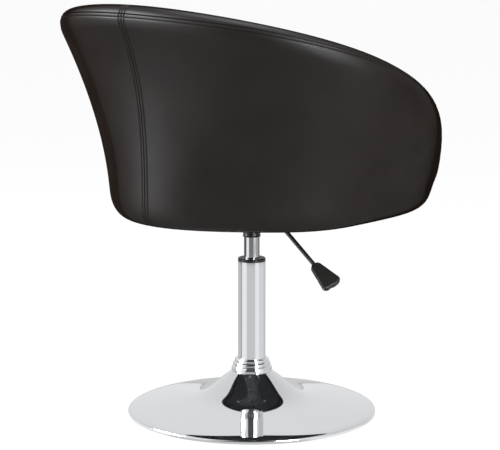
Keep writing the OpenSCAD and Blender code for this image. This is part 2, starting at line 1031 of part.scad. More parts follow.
function pad_side(psi, inner) = [
  for (i = [0 : pad_steps])
    let (z = pad_z + (top_z(psi) - pad_z) * i / pad_steps)
    [wall_r(psi, z) - (inner ? lining(psi, z) : pad_out), z]
];

module inner_pad()
{
  color(leather)
    loft(
      [
        for (j = [0 : ring_steps - 1])
          let (psi = 360 * j / ring_steps)
          [for (p = concat(pad_side(psi, false), reversed(pad_side(psi, true)))) on_tub(psi, p)]
      ],
      true
    );
}

// The rim's rounded section: a lobe that leans with the wall below it, over a foot that has
// a point at each layer of the wall, from the lining out to the cover
rim_steps = 11;
layers = [pad_out, cover_t + soft_gap + shell_t, cover_t + soft_gap, cover_t];
function rim_foot(psi) = [for (w = layers) [top_r(psi) - w, top_z(psi) + soft_gap]];
function lobe(psi) =
  let (s = top_slope(psi))
  let (k = 2 / 3 * wall_at(psi) * rim_fullness / sqrt(1 + s * s))
  let (a = [top_r(psi), top_z(psi) + soft_gap])
  let (b = a - [wall_at(psi), 0])
  [for (i = [0 : rim_steps]) bezier(a, a + k * [s, 1], b + k * [s, 1], b, i / rim_steps)];

module rim_band()
{
  color(leather)
    loft(
      [
        for (j = [0 : ring_steps - 1])
          let (psi = 360 * j / ring_steps)
          [for (p = concat(lobe(psi), rim_foot(psi))) on_tub(psi, p)]
      ],
      true
    );
}

// The seat cushion: it fills the lining's plan, with drawn-in sides and a crown
cushion_gap = 2;
cushion_z = board_top + dust_t + soft_gap;
welt_z = cushion_z + cushion_side;

// The rim's innermost reach, which the cushion stays inside at the front
function rim_in(psi) = min([for (p = lobe(psi)) p[0]]);
function cushion_r(psi, z) =
  min(wall_r(psi, z) - lining(psi, z), rim_in(psi)) - cushion_gap;

// One ring of the cushion, drawn in from the lining by a share of the radius
function cushion_ring(share, z) = [
  for (j = [0 : ring_steps - 1])
    let (psi = -360 * j / ring_steps)
    on_tub(psi, [cushion_r(psi, min(z, welt_z)) * share, z])
];

module seat_cushion()
{
  side_rows = [[0.93, 0], [0.985, 0.1], [0.988, 0.35], [0.986, 0.65], [0.995, 0.9], [1, 1]];
  crown_rows = [0.985, 0.93, 0.8, 0.6, 0.35];
  color(leather)
    ring_stack(
      concat(
        [for (row = side_rows) cushion_ring(row[0], cushion_z + cushion_side * row[1])],
        [for (row = crown_rows) cushion_ring(row, welt_z + cushion_crown * (1 - pow(row, 4)))]
      ),
      [0, 0, cushion_z],
      [0, 0, welt_z + cushion_crown]
    );
}

// ---- Seat board and dust cover ----
// The foot's plan drawn in past its rounded edge, and by no less than least
function outline(inset, least) = [
  for (j = [0 : ring_steps - 1])
    let (psi = -360 * j / ring_steps)
    let (r = foot_r(psi) - max(edge_w(psi) + inset, least))
    [r * sin(psi), r * cos(psi)]
];

module seat_board()
{
  color(plywood)
    difference()
    {
      translate([0, 0, board_z])
        linear_extrude(board_t)
          polygon(outline(1, cover_t + soft_gap + shell_t + 1));
      translate([0, 0, board_z - 1])
        cylinder(h = board_t + 2, r = tube_r + 4);
      at_bolts()
        translate([0, 0, board_z - 1])
          cylinder(h = board_t + 2, r = bolt_d / 2 + 1.4 + fit_gap, $fn = 48);
    }
}

module dust_cover()
{
  color(rubber)
    difference()
    {
      translate([0, 0, plate_top])
        linear_extrude(dust_t)
          polygon(outline(hem_w + 1, 0));
      translate([0, 0, plate_top - 1])
        cylinder(h = dust_t + 2, r = mouth_r - 1);
      at_bolts()
        translate([0, 0, plate_top - 1])
          cylinder(h = dust_t + 2, r = bolt_hole_r, $fn = 48);
    }
}

base_trumpet();
base_hub();
ballast_plate();
floor_ring();
neck_collar();
column_tube();
guide_bush();
lower_race();
ball_cage();
bearing_balls();
piston_rod();
piston_head();
piston_seal();
upper_race();
rubber_bumper();
rod_clip();
pressure_tube();
rod_guide();
rod_seal();
valve_body();
conical_socket();
mechanism_plate();
pivot_bracket();
pivot_pin();
plate_washers();
plate_bolts();
tee_nuts();
dust_cover();
tub_shell();
seat_board();
inner_pad();
outer_cover_left();
outer_cover_right();
rim_band();
seat_cushion();
lever_rod();
lever_paddle();
release_pin();
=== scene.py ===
# %% [markdown]
# # A gas-lift tub chair
# The chair comes as a frame of exact mechanical parts. This lesson gives it its looks: the
# chromed base, the black leatherette with its seams, the lever's grip and the studio around it.
# Lengths are in millimetres where they describe a real piece, and MM turns them to metres.

# %% Load the frame
import math
import bpy
import numpy as np
from mathutils import Matrix, Vector


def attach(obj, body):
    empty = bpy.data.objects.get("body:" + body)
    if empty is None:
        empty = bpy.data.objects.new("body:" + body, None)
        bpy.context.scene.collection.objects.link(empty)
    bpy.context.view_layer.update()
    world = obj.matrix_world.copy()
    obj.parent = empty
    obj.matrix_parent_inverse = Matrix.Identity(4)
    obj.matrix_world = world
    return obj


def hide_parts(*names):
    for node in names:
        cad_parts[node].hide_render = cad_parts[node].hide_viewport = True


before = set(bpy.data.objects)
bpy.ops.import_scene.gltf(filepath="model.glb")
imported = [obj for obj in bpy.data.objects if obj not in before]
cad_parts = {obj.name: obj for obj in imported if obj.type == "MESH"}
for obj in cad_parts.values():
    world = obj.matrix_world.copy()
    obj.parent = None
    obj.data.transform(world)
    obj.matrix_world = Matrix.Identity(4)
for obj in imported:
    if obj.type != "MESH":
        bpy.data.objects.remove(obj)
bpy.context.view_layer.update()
MM = 0.001

# %% [markdown]
# ## The camera
# The chair is seen from behind, over the sitter's right shoulder, with a long lens that keeps the
# uprights parallel. It is placed by its azimuth around the column, its distance and its height,
# because these are the numbers that can be measured in a studio.

# %% Camera
picture_w_px = 500
sensor_w = 36  # mm, a full frame
focal_px = 1989.6
azimuth = math.radians(224)
stand_back = 3525 * MM
stand_height = 963 * MM
tilt_down = math.radians(9.957)
axis_right_px = 1.8

camera = bpy.data.objects.new("studio_camera", bpy.data.cameras.new("studio_camera"))
bpy.context.scene.collection.objects.link(camera)
camera.data.sensor_width = sensor_w
camera.data.lens = sensor_w * focal_px / picture_w_px
camera.location = (stand_back * math.sin(azimuth), -stand_back * math.cos(azimuth), stand_height)
turn_left = math.atan(axis_right_px / focal_px)
camera.rotation_euler = (math.pi / 2 - tilt_down, 0, azimuth + turn_left)
bpy.context.scene.camera = camera
bpy.context.scene.view_settings.view_transform = "Standard"
print("lens:", round(camera.data.lens, 1), "mm")

# %% [markdown]
# ## Small helpers for materials
# Colours are written as sRGB hex values, as a screen shows them, and one function turns them to
# linear ones for the shaders. A second one adds a node, its settings and its links.

# %% Colour and node helpers
def linear(hex_colour):
    """An sRGB hex colour as linear RGBA."""
    parts = [int(hex_colour[i:i + 2], 16) / 255 for i in (1, 3, 5)]
    return [c / 12.92 if c <= 0.04045 else ((c + 0.055) / 1.055) ** 2.4 for c in parts] + [1.0]


def add_node(tree, kind, links=None, inputs=None, **settings):
    """Adds a shader node; inputs sets its sockets and links joins them to other sockets."""
    node = tree.nodes.new("ShaderNode" + kind)
    for name, value in settings.items():
        setattr(node, name, value)
    for name, value in (inputs or {}).items():
        node.inputs[name].default_value = value
    for name, source in (links or {}).items():
        tree.links.new(source, node.inputs[name])
    return node


def object_place(tree):
    """Object coordinates in metres."""
    return add_node(tree, "TexCoord").outputs["Object"]


def new_material(name, colour, metallic, roughness, **more):
    """A Principled material, with its tree and its shader."""
    material = bpy.data.materials.new(name)
    material.use_nodes = True
    shader = material.node_tree.nodes["Principled BSDF"]
    shader.inputs["Base Color"].default_value = linear(colour)
    shader.inputs["Metallic"].default_value = metallic
    shader.inputs["Roughness"].default_value = roughness
    for socket, value in more.items():
        shader.inputs[socket.replace("_", " ")].default_value = value
    material.diffuse_color = linear(colour)
    return material, material.node_tree, shader


def wander(tree, scale, low, high, detail=2.0):
    """A soft noise on Object coordinates, from low to high; scale is in waves per metre."""
    noise = add_node(tree, "TexNoise", {"Vector": object_place(tree)},
                     {"Scale": scale, "Detail": detail})
    return add_node(tree, "MapRange", {"Value": noise.outputs["Fac"]},
                    {"From Min": 0.3, "From Max": 0.7, "To Min": low, "To Max": high})


def blended(tree, shader, share, dark, light):
    """Base colour between two tones, by a share from 0 to 1."""
    blend = add_node(tree, "Mix", {"Factor": share}, data_type="RGBA")
    blend.inputs["A"].default_value = linear(dark)
    blend.inputs["B"].default_value = linear(light)
    tree.links.new(blend.outputs["Result"], shader.inputs["Base Color"])


def two_tone(tree, shader, scale, dark, light):
    """Base colour that drifts between two tones."""
    blended(tree, shader, wander(tree, scale, 0.0, 1.0).outputs["Result"], dark, light)


def add_bump(tree, shader, height, strength, distance):
    """Joins a height to the shader's normal; distance is the height of its relief in metres."""
    bump = add_node(tree, "Bump", {"Height": height}, {"Strength": strength, "Distance": distance})
    tree.links.new(bump.outputs["Normal"], shader.inputs["Normal"])


def grained(tree, shader, scale, strength, distance, detail=2.0):
    """A fine relief made of soft noise."""
    relief = wander(tree, scale, 0.0, 1.0, detail)
    add_bump(tree, shader, relief.outputs["Result"], strength, distance)


print("helpers ready")

# %% [markdown]
# ## Metals
# The base, its collar, the column and the cylinder are plated with decorative chromium: a hard
# bluish mirror that shows whatever stands around it. Hidden fittings are zinc-plated steel, which
# is duller, and the mechanism's plate is pressed steel with a black powder coat.

# %% Metals
chrome, tree, shader = new_material("decorative_chromium", "#E4E6E9", 1.0, 0.045)
tree.links.new(wander(tree, 9, 0.03, 0.07).outputs["Result"], shader.inputs["Roughness"])

zinc, tree, shader = new_material("zinc_plated_steel", "#B4B6B8", 1.0, 0.34)
tree.links.new(wander(tree, 120, 0.28, 0.42).outputs["Result"], shader.inputs["Roughness"])
two_tone(tree, shader, 60, "#A6A8AA", "#C2C4C5")

brass, tree, shader = new_material("machined_brass", "#C9A45C", 1.0, 0.3)
two_tone(tree, shader, 80, "#BD9850", "#D2AE68")

powder_coat, tree, shader = new_material("black_powder_coat_on_steel", "#151516", 0.0, 0.42)
orange_peel = 1 / 1.2 / MM  # waves of a powder coat's orange peel, 1.2 mm apart
grained(tree, shader, orange_peel, 0.25, 0.05 * MM, 1.0)
print("metals:", [m.name for m in (chrome, zinc, brass, powder_coat)])

# %% [markdown]
# ## Plastics, rubber, cloth and wood
# The lever's grip is moulded in black nylon, whose fine spark-eroded grain breaks up the gloss.
# The bush and the socket are acetal, smoother and blacker. The floor ring is rubber. The cloth
# under the tub is a black non-woven, and the shell and the seat board are moulded beech plywood.

# %% Plastics, rubber, cloth and wood
nylon, tree, shader = new_material("moulded_black_nylon", "#100E0C", 0.0, 0.48,
                                    Specular_IOR_Level=0.35)
spark_grain = 1 / 0.8 / MM  # spark-eroded grain, drawn at 0.8 mm so that it shows
grained(tree, shader, spark_grain, 0.2, 0.03 * MM)

acetal, tree, shader = new_material("black_acetal", "#0B0B0B", 0.0, 0.34)
grained(tree, shader, 400, 0.1, 0.03 * MM)

rubber, tree, shader = new_material("moulded_black_rubber", "#1A1A1A", 0.0, 0.75)
grained(tree, shader, 700, 0.3, 0.05 * MM)

non_woven, tree, shader = new_material("black_non_woven_polypropylene", "#101011", 0.0, 0.9)
bond_step = 1.5 * MM  # the cloth's fibres are bonded in points 1.5 mm apart
points = add_node(tree, "TexVoronoi", {"Vector": object_place(tree)},
                  {"Scale": 1 / bond_step, "Randomness": 0.25})
add_bump(tree, shader, points.outputs["Distance"], 0.5, 0.15 * MM)

plywood, tree, shader = new_material("moulded_beech_plywood", "#B8905F", 0.0, 0.5)
stretch = add_node(tree, "Mapping", {"Vector": object_place(tree)}, {"Scale": (1.0, 0.12, 1.0)})
grain = add_node(tree, "TexNoise", {"Vector": stretch.outputs["Vector"]},
                 {"Scale": 220, "Detail": 4.0})
blended(tree, shader, grain.outputs["Fac"], "#A57B4C", "#CBA574")
print("others:", [m.name for m in (nylon, acetal, rubber, non_woven, plywood)])

# %% [markdown]
# ## Leatherette and thread
# The upholstery is a vinyl-coated knit, pressed with a shallow leather grain. It is nearly black
# and slightly warm, with a satin gloss that drifts a little and shows broad, soft lights. The
# grain is a cell pattern about 1.4 mm wide. Its walls shade one another where the cover is seen
# edge-on, so the gloss fades there.

# %% Leatherette and thread
leatherette, tree, shader = new_material("black_vinyl_leatherette", "#100C0A", 0.0, 0.42)
two_tone(tree, shader, 14, "#0E0A08", "#120E0B")
tree.links.new(wander(tree, 22, 0.42, 0.50).outputs["Result"], shader.inputs["Roughness"])
edge_on = add_node(tree, "LayerWeight", inputs={"Blend": 0.5})
gloss = add_node(tree, "MapRange", {"Value": edge_on.outputs["Facing"]},
                 {"From Min": 0.15, "From Max": 0.72, "To Min": 0.2, "To Max": 0.0})
tree.links.new(gloss.outputs["Result"], shader.inputs["Specular IOR Level"])
grain_step = 1.4 * MM
place = object_place(tree)
bend = add_node(tree, "TexNoise", {"Vector": place}, {"Scale": 0.4 / grain_step, "Detail": 2.0})
bent = add_node(tree, "Mix", {"A": place, "B": bend.outputs["Color"]},
                {"Factor": 0.002}, data_type="RGBA")
cells = add_node(tree, "TexVoronoi", {"Vector": bent.outputs["Result"]},
                 {"Scale": 1 / grain_step}, feature="DISTANCE_TO_EDGE")
furrow = add_node(tree, "MapRange", {"Value": cells.outputs["Distance"]}, {"From Max": 0.25})
add_bump(tree, shader, furrow.outputs["Result"], 0.25, 0.05 * MM)

thread, tree, shader = new_material("black_polyester_thread", "#0A0908", 0.0, 0.8,
                                    Specular_IOR_Level=0.1)
ply_step = 0.5 * MM  # the thread's twist
twist = add_node(tree, "TexWave", {"Vector": object_place(tree)},
                 {"Scale": 1 / ply_step / 6}, bands_direction="DIAGONAL")
add_bump(tree, shader, twist.outputs["Fac"], 0.3, 0.05 * MM)
print("soft finishes:", [m.name for m in (leatherette, thread)])

# %% [markdown]
# ## Finishes for the exact parts
# A part whose own shape is right keeps its mesh and only gets a finish.

# %% Dress the exact parts
def finish_piece(piece, material):
    piece.data.materials.clear()
    piece.data.materials.append(material)


finishes = {
    chrome: ["base_trumpet", "neck_collar", "column_tube", "pressure_tube"],
    zinc: ["base_hub", "lower_race", "bearing_balls", "piston_rod", "piston_head", "upper_race",
           "pivot_pin", "plate_washers", "plate_bolts", "tee_nuts", "release_pin"],
    powder_coat: ["ballast_plate", "rod_clip", "rod_guide", "mechanism_plate", "pivot_bracket",
                  "lever_rod"],
    rubber: ["floor_ring", "piston_seal", "rubber_bumper", "rod_seal"],
    acetal: ["guide_bush", "conical_socket"],
    nylon: ["lever_paddle"],
    brass: ["ball_cage", "valve_body"],
    non_woven: ["dust_cover"],
    plywood: ["tub_shell", "seat_board"],
    leatherette: ["inner_pad", "outer_cover_left", "outer_cover_right", "rim_band",
                  "seat_cushion"],
}
for material, names in finishes.items():
    for name in names:
        finish_piece(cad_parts[name], material)
print("dressed", sum(len(names) for names in finishes.values()), "exact parts")

# %% [markdown]
# ## Helpers for modelling
# A turned piece is drawn as a half profile and spun about the column's axis, as on a lathe. Its
# curves are Bezier curves.

# %% Modelling helpers
def close_edit():
    bpy.ops.object.mode_set(mode="OBJECT")


def deselect():
    if bpy.context.object and bpy.context.object.mode != "OBJECT":
        close_edit()
    bpy.ops.object.select_all(action="DESELECT")


def name_piece(name, material):
    piece = bpy.context.object
    piece.name = piece.data.name = name
    finish_piece(piece, material)
    return piece


def select_only(piece):
    deselect()
    piece.select_set(True)
    bpy.context.view_layer.objects.active = piece


def edit_all():
    """Opens the active mesh for editing, with all of it selected."""
    bpy.ops.object.mode_set(mode="EDIT")
    bpy.ops.mesh.select_all(action="SELECT")


def apply_modifiers(piece):
    select_only(piece)
    for modifier in list(piece.modifiers):
        bpy.ops.object.modifier_apply(modifier=modifier.name)


def turned(name, profile, material, steps=180):
    """A closed half profile of (radius, height) points in mm, spun about the Z axis."""
    deselect()
    bpy.ops.mesh.primitive_plane_add(size=MM)
    edit_all()
    bpy.ops.mesh.merge(type="CENTER")
    bpy.ops.transform.translate(value=(profile[0][0] * MM, 0, profile[0][1] * MM))
    for (r0, z0), (r1, z1) in zip(profile, profile[1:] + profile[:1]):
        bpy.ops.mesh.extrude_region_move(
            TRANSFORM_OT_translate={"value": ((r1 - r0) * MM, 0, (z1 - z0) * MM)})
    bpy.ops.mesh.select_all(action="SELECT")
    bpy.ops.mesh.spin(steps=steps, angle=2 * math.pi, center=(0, 0, 0), axis=(0, 0, 1))
    bpy.ops.mesh.select_all(action="SELECT")
    bpy.ops.mesh.remove_doubles(threshold=1e-6)
    bpy.ops.mesh.normals_make_consistent(inside=False)
    close_edit()
    bpy.ops.object.shade_smooth_by_angle(angle=math.radians(40))
    return name_piece(name, material)


def bezier(a, b, c, d, t):
    a, b, c, d = (np.array(p, float) for p in (a, b, c, d))
    return (1 - t) ** 3 * a + 3 * t * (1 - t) ** 2 * b + 3 * t * t * (1 - t) * c + t ** 3 * d


def curve(a, b, c, d, count=13):
    """A Bezier curve as a list of points."""
    return [tuple(bezier(a, b, c, d, t)) for t in np.linspace(0, 1, count)]


def inset(points, depth):
    """A profile moved by depth to its inner side, square to its own line."""
    points = np.array(points, float)
    run = np.gradient(points, axis=0)
    run /= np.linalg.norm(run, axis=1)[:, None]
    return points + depth * np.stack([run[:, 1], -run[:, 0]], axis=1)


print("modelling helpers ready")

# %% [markdown]
# ## The trumpet base
# A disc of 1.6 mm steel is spun over a former into a trumpet, its rim is rolled down to the
# floor and it is polished and plated. In a mirror every facet shows, so the exact part is
# replaced with one that follows the same two curves finely.

# %% Trumpet
base_r = 225
neck_r = 35.5
neck_h = 79
lip_top = 4.5
lip_foot = 0.8
sheet_t = 1.6
flare_points = [(neck_r, 77), (104.5, 24.64), (72.5, 34.034), (195, 13.5)]
shoulder_points = [(195, 13.5), (209.79, 11.02), (base_r, 9.0), (base_r, lip_top)]

outer_line = np.array([(neck_r, neck_h)] + curve(*flare_points, 91)
                      + curve(*shoulder_points, 31)[1:] + [(base_r, lip_foot)])
inner_line = inset(outer_line, sheet_t)
inner_line[0] = (neck_r - sheet_t, neck_h)
inner_line[-1] = (base_r - sheet_t, lip_foot)
trumpet_profile = [tuple(p) for p in outer_line] + [tuple(p) for p in inner_line[::-1]]
trumpet = turned("spun_trumpet", trumpet_profile, chrome, 240)
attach(trumpet, "base")
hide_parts("base_trumpet")
print("trumpet:", len(trumpet.data.polygons), "faces")

# %% [markdown]
# ## The collar
# A chromed ring hides the joint between the trumpet's neck and the column. It is turned like a
# small bell: a narrow lip at its foot, two full beads drawn in towards the column with a groove
# between them, and a rounded band at its top.

# %% Collar
column_r = 25
collar_foot = 77.0
collar_top = 100.4
collar_bore = column_r + 0.05
socket_r = neck_r + 0.05  # it slips over the neck
lip = [(36.2, collar_foot), (36.75, collar_foot + 0.25), (36.9, collar_foot + 0.8)]
bell = curve((36.9, 78.4), (37.3, 82.4), (35.6, 84.6), (34.3, 86.6))
groove = [(33.7, 86.9), (33.1, 87.6), (33.3, 88.3)]
waist = curve((33.9, 88.8), (34.5, 91.2), (33.0, 93.0), (31.7, 94.0))
band = [(30.6, 94.3), (30.1, 94.9), (30.3, 95.6), (30.9, 96.2)]
crown_r = 2.7
crown = [(28.2 + crown_r * math.cos(a), 97.5 + crown_r * math.sin(a))
         for a in np.linspace(math.radians(-12), math.pi / 2, 13)]
mouth = [(26.2, collar_top), (25.6, collar_top - 0.3), (collar_bore, collar_top - 1.1)]
collar_profile = ([(socket_r, neck_h), (socket_r, collar_foot)] + lip + bell + groove + waist
                  + band + crown + mouth + [(collar_bore, neck_h)])
collar = turned("chromed_collar", collar_profile, chrome, 180)
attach(collar, "base")
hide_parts("neck_collar")
print("collar:", len(collar.data.polygons), "faces")

# %% [markdown]
# ## The socket under the seat
# The cylinder's taper sits in a black socket below the seat's plate. It is turned here with a
# little rolled rim at its mouth, which is what shows under the tub.

# %% Socket
mouth_z, dish_z, tube_top = 323.4, 350.1, 355.1  # heights of its mouth, shoulder and end
bore_r, shoulder_r, stub_r = 14.05, 23.05, 16.55
rim = [(bore_r, mouth_z + 0.3), (15.0, mouth_z), (15.9, mouth_z + 0.4), (16.3, mouth_z + 1.4),
       (15.9, mouth_z + 2.5), (15.6, mouth_z + 3.6)]
shank = [(15.9, 338), (17.05, dish_z - 6)]
shoulder = [(shoulder_r, dish_z - 2), (shoulder_r, dish_z), (stub_r, dish_z)]
bore = [(stub_r, tube_top), (13.05, tube_top), (bore_r, 332.1)]
socket = turned("moulded_socket", rim + shank + shoulder + bore, acetal, 96)
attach(socket, "seat")
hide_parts("conical_socket")
print("socket:", len(socket.data.polygons), "faces")

# %% [markdown]
# ## The studio
# Polished metal has no colour of its own: it shows the room. So the room is drawn as a ring of
# tones around the chair, dark where the camera stands, bright where the soft boxes are.
# One ramp gives what a mirror sees on the floor and another what it sees above the horizon.
# A camera ray sees plain white, and matt surfaces get an even light.

# %% Ring of tones
def tone_ring(tree, direction, stops):
    """A grey by azimuth: stops are (degrees to the camera's right, tone), in rising order."""
    turn = add_node(tree, "Mapping", {"Vector": direction},
                    {"Rotation": (0, 0, math.radians(90) - azimuth)})
    parts = add_node(tree, "SeparateXYZ", {"Vector": turn.outputs["Vector"]})
    angle = add_node(tree, "Math", {0: parts.outputs["Y"], 1: parts.outputs["X"]},
                     operation="ARCTAN2")
    share = add_node(tree, "MapRange", {"Value": angle.outputs["Value"]},
                     {"From Min": -math.pi, "From Max": math.pi})
    ramp = add_node(tree, "ValToRGB", {"Fac": share.outputs["Result"]})
    ramp.color_ramp.interpolation = "EASE"
    points = ramp.color_ramp.elements
    while len(points) < len(stops):
        points.new(0.5)
    for point, (degrees, tone) in zip(points, stops):
        point.position = degrees / 360 + 0.5
        point.color = (tone, tone, tone, 1.0)
    return ramp.outputs["Color"]


def by_ray(tree, matt, mirrored, seen):
    """Gives mirrors and the camera shaders of their own, and all other rays the matt one."""
    path = add_node(tree, "LightPath")
    bounced = add_node(tree, "MixShader", {"Fac": path.outputs["Is Glossy Ray"],
                       1: matt.outputs[0], 2: mirrored.outputs[0]})
    return add_node(tree, "MixShader", {"Fac": path.outputs["Is Camera Ray"],
                    1: bounced.outputs["Shader"], 2: seen.outputs[0]})


floor_tones = [(-180, 0.62), (-104, 0.62), (-99, 0.45), (-90, 0.45), (-85, 1.0), (-46, 1.0),
               (-38, 0.68), (24, 0.68), (32, 0.98), (58, 0.98), (68, 0.8), (108, 0.8),
               (122, 0.64), (180, 0.64)]
far_tones = [(-180, 0.8), (-125, 0.72), (-100, 0.25), (90, 0.22), (115, 0.55), (150, 0.72),
             (180, 0.8)]
sky_tones = [(-180, 0.85), (-125, 0.78), (-104, 0.7), (-90, 0.7), (-76, 1.0), (-44, 1.0),
             (-32, 0.1), (24, 0.1), (36, 1.0), (60, 1.0), (78, 0.7), (130, 0.7), (155, 0.78),
             (180, 0.85)]
print("tones:", len(floor_tones), len(far_tones), len(sky_tones))

# %% [markdown]
# ## The floor
# The floor is matt and nearly white, and it keeps the chair's soft shadow. The camera sees it
# with most of its shading lifted to white, and mirrors see the ring of tones instead. Its tones
# grow harder a metre and a half away, and from two metres on the room in front is dark.

# %% Floor
floor_side = 30
deselect()
bpy.ops.mesh.primitive_plane_add(size=floor_side)
floor_paint = bpy.data.materials.new("white_floor_paint")
floor_paint.use_nodes = True
tree = floor_paint.node_tree
tree.nodes.clear()
matt = add_node(tree, "BsdfDiffuse", inputs={"Color": linear("#F2F2F2")})
lift = add_node(tree, "Emission")
seen = add_node(tree, "MixShader",
                {1: matt.outputs["BSDF"], 2: lift.outputs["Emission"]}, {"Fac": 0.95})
place = object_place(tree)
tone = tone_ring(tree, place, floor_tones)
away = add_node(tree, "VectorMath", {0: place}, operation="LENGTH")
harder = add_node(tree, "MapRange", {"Value": away.outputs["Value"]},
                  {"From Min": 1.42, "From Max": 1.5, "To Min": 1.0, "To Max": 4.0})
crisp = add_node(tree, "Math", {0: tone, 1: harder.outputs["Result"]}, operation="POWER")
beyond = add_node(tree, "MapRange", {"Value": away.outputs["Value"]},
                  {"From Min": 1.9, "From Max": 2.5})
tones = add_node(tree, "Mix", {"Factor": beyond.outputs["Result"], "A": crisp.outputs["Value"],
                 "B": tone_ring(tree, place, far_tones)}, data_type="RGBA")
mirrored = add_node(tree, "Emission", {"Color": tones.outputs["Result"]})
all_rays = by_ray(tree, matt, mirrored, seen)
add_node(tree, "OutputMaterial", {"Surface": all_rays.outputs["Shader"]})
floor = name_piece("studio_floor", floor_paint)
print("floor:", floor_side, "m square")

# %% [markdown]
# ## The light
# The world gives matt surfaces an even light and shows mirrors the ring above the horizon. Two
# tall strip boxes, one on each side of the camera, draw a broad upright light on the tub's
# side. A smaller box above each of them picks out the shoulder under the top edge, and a fill
# from the sitter's front keeps the seating space from going black.

# %% World and soft boxes
world = bpy.data.worlds.new("studio_air")
world.use_nodes = True
bpy.context.scene.world = world
tree = world.node_tree
tree.nodes.clear()
place = add_node(tree, "TexCoord")
even = add_node(tree, "Background", inputs={"Color": (1, 1, 1, 1), "Strength": 0.25})
ring = add_node(tree, "Background",
                {"Color": tone_ring(tree, place.outputs["Generated"], sky_tones)})
white = add_node(tree, "Background", inputs={"Color": (1, 1, 1, 1)})
all_rays = by_ray(tree, even, ring, white)
add_node(tree, "OutputWorld", {"Surface": all_rays.outputs["Shader"]})


tub_middle = Vector((0, 0, 0.5))
daylight = (0.93, 0.96, 1.0)  # daylight tubes are a little cool


def soft_box(name, degrees_right, degrees_up, away, width, height, watts):
    """A rectangular lamp that looks at the tub, placed by its angle to the camera's right."""
    lamp = bpy.data.objects.new(name, bpy.data.lights.new(name, "AREA"))
    bpy.context.scene.collection.objects.link(lamp)
    lamp.data.shape = "RECTANGLE"
    lamp.data.size, lamp.data.size_y, lamp.data.energy = width, height, watts
    lamp.data.color = daylight
    turn, lift = azimuth + math.radians(degrees_right), math.radians(degrees_up)
    out = Vector((math.sin(turn) * math.cos(lift), -math.cos(turn) * math.cos(lift),
                  math.sin(lift)))
    lamp.location = tub_middle + out * away
    lamp.rotation_euler = out.to_track_quat("Z", "Y").to_euler()


# name, degrees to the camera's right and up, metres away, wide and high, watts
for box in (("left_strip_box", -82, 9, 2.4, 1.3, 1.6, 58),
            ("right_strip_box", 34, 9, 2.6, 0.7, 1.6, 64),
            ("left_shoulder_box", -94, 27, 2.6, 1.1, 1.1, 140),
            ("right_shoulder_box", 34, 27, 2.6, 0.8, 0.8, 60),
            ("front_fill_box", 176, 74, 2.6, 1.6, 1.6, 66)):
    soft_box(*box)

# %% [markdown]
# ## The tub's form
# Three closed curves shape the tub: its foot, its top edge and the height of that edge. Every
# upholstered panel follows the same form, so the form is written once, as functions of the turn
# around the column, where 0 is the middle of the back and 180 the middle of the front.

# %% Form of the tub
tub_z = 372  # underside
rim_dip = 15  # the front of the rim dips a little
board_top = 407.3
pad_foot_z = board_top + 0.3
pad_foot_t = 46.7  # wall at the seat board: cover, foam, shell and inner pad
hem_w = 34.9  # width of the cover's hem under the tub
fold_h = 6.9  # the hem's edge is tucked up to the dust cover


def around(turn, back, side, front):
    """A value that eases from the back to the sides to the front."""
    return ((back + front) / 4 + side / 2 + (back - front) / 2 * np.cos(turn)
            + ((back + front) / 4 - side / 2) * np.cos(2 * turn))


def ease(share):
    share = np.clip(share, 0, 1)
    return share * share * (3 - 2 * share)


def plan_r(turn, side, back, front, full_back, full_front):
    """Radius of a rounded plan, a superellipse that is fuller at its front or its back."""
    n = full_back + (full_front - full_back) * ease(0.5 - 0.5 * np.cos(turn))
    ahead = np.where(np.cos(turn) > 0, back, front)
    return ((np.abs(np.sin(turn)) / side) ** n + (np.abs(np.cos(turn)) / ahead) ** n) ** (-1 / n)


def foot_r(turn):
    drawn_in = 15 * np.sin(2 * turn) ** 2 * (np.cos(turn) > 0)  # at the back's two corners
    return plan_r(turn, side=269, back=262, front=297, full_back=2.0, full_front=3.4) - drawn_in


def top_r(turn):
    return plan_r(turn, side=346, back=307, front=302, full_back=2.15, full_front=2.15)


def top_z(turn):
    return around(turn, back=711, side=610, front=449) - rim_dip * ease(-2 * np.cos(turn) - 1)


def edge_w(turn):
    return around(turn, back=18, side=28, front=48)


def edge_h(turn):
    return around(turn, back=28, side=36, front=42)


def wall_t(turn):
    return around(turn, back=72, side=72, front=46)


def top_slope(turn):
    return around(turn, back=0.45, side=0.26, front=-0.65)


def wall_r(turn, z):
    """Radius of the outer wall at a height: a cubic from the foot to the top edge."""
    start = tub_z + edge_h(turn)
    rise = top_z(turn) - start
    foot_slope = around(turn, back=0, side=0.27, front=0.69)
    u = np.clip((z - start) / rise, 0, 1)
    return (foot_r(turn) * (2 * u**3 - 3 * u**2 + 1) + top_r(turn) * (3 * u**2 - 2 * u**3)
            + rise * foot_slope * (u**3 - 2 * u**2 + u)
            + rise * top_slope(turn) * (u**3 - u**2))


def inner_r(turn, z):
    """Radius of the inner lining at a height."""
    u = (z - pad_foot_z) / (top_z(turn) - pad_foot_z)
    return wall_r(turn, z) - pad_foot_t - (wall_t(turn) - pad_foot_t) * ease(u)


def at(turn, radius, z):
    """Points in mm from turns, radii and heights."""
    turn, radius, z = np.broadcast_arrays(turn, radius, z)
    return np.stack([radius * np.sin(turn), radius * np.cos(turn), z], axis=-1)


quarters = np.radians([0, 90, 180])
print("top edge at back, side and front, mm:", np.round(top_r(quarters)),
      np.round(top_z(quarters)))

# %% [markdown]
# ## Draping a panel
# A panel starts as a flat grid. Its columns become turns around the tub and its rows steps up
# the wall, closer together near the joins. Where two panels meet, each edge rolls inwards over a
# few millimetres, and a row of topstitching pulls the cover down in a shallow groove beside it.

